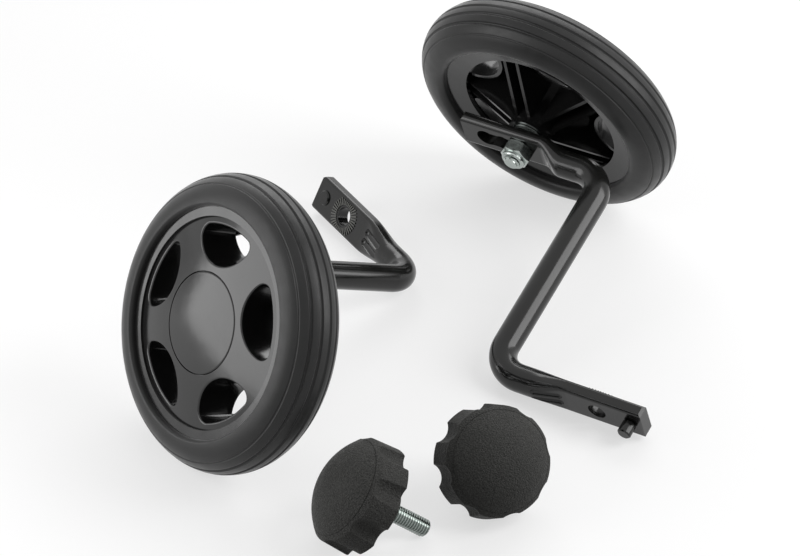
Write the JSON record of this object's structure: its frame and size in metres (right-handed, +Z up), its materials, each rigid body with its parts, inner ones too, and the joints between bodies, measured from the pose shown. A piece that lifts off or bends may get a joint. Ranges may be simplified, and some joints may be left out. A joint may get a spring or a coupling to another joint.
{
  "type": "bicycle training wheels",
  "caption": "Bicycle training wheels: grooved rubber tyres on moulded rims, bent steel tube arms with slotted axle plates, and domed clamping knobs lying beside them.",
  "frame": {"origin": "middle of the layout's footprint, on the floor that it lies on", "axes": "+Z up from the floor, +Y away from the viewer, along the longer side of the layout, and +X to the right"},
  "size_m": [0.247, 0.3216, 0.1219],
  "materials": {
    "tyre_rubber": "satin rubber",
    "rim_plastic": "glossy black moulding",
    "arm_paint": "glossy black paint over steel tube",
    "zinc_steel": "bright zinc plate",
    "knob_plastic": "finely grained black plastic",
    "insert_nylon": "pale nylon ring"
  },
  "bodies": {
    "root": {"left_arm": "arm_paint", "left_locating_pin": "arm_paint", "left_knob_grip": "knob_plastic", "left_knob_stud": "zinc_steel", "right_arm": "arm_paint", "right_locating_pin": "arm_paint", "right_knob_grip": "knob_plastic", "right_knob_stud": "zinc_steel"},
    "left_axle": {"left_axle_bolt": "zinc_steel", "left_axle_sleeve": "zinc_steel", "left_head_washer": "zinc_steel", "left_arm_washer": "zinc_steel", "left_lock_nut": "zinc_steel", "left_nut_insert": "insert_nylon"},
    "left_wheel": {"left_tyre": "tyre_rubber", "left_rim": "rim_plastic", "left_hub_cap": "rim_plastic"},
    "right_axle": {"right_axle_bolt": "zinc_steel", "right_axle_sleeve": "zinc_steel", "right_head_washer": "zinc_steel", "right_arm_washer": "zinc_steel", "right_lock_nut": "zinc_steel", "right_nut_insert": "insert_nylon"},
    "right_wheel": {"right_tyre": "tyre_rubber", "right_rim": "rim_plastic", "right_hub_cap": "rim_plastic"}
  },
  "joints": [
    {"name": "left_axle_slide", "type": "slide", "parent": "root", "child": "left_axle", "axis": [0.5683, -0.8217, -0.0419], "range_m": [0, 0.018]},
    {"name": "left_wheel_spin", "type": "hinge", "parent": "left_axle", "child": "left_wheel", "pos_m": [-0.07522, -0.06842, 0.06095], "axis": [-0.7461, -0.5361, 0.3948], "continuous": true},
    {"name": "right_axle_slide", "type": "slide", "parent": "root", "child": "right_axle", "axis": [-0.8632, 0.5031, -0.0419], "range_m": [0, 0.018]},
    {"name": "right_wheel_spin", "type": "hinge", "parent": "right_axle", "child": "right_wheel", "pos_m": [0.06378, 0.11598, 0.06095], "axis": [0.4482, 0.802, 0.3948], "continuous": true}
  ]
}
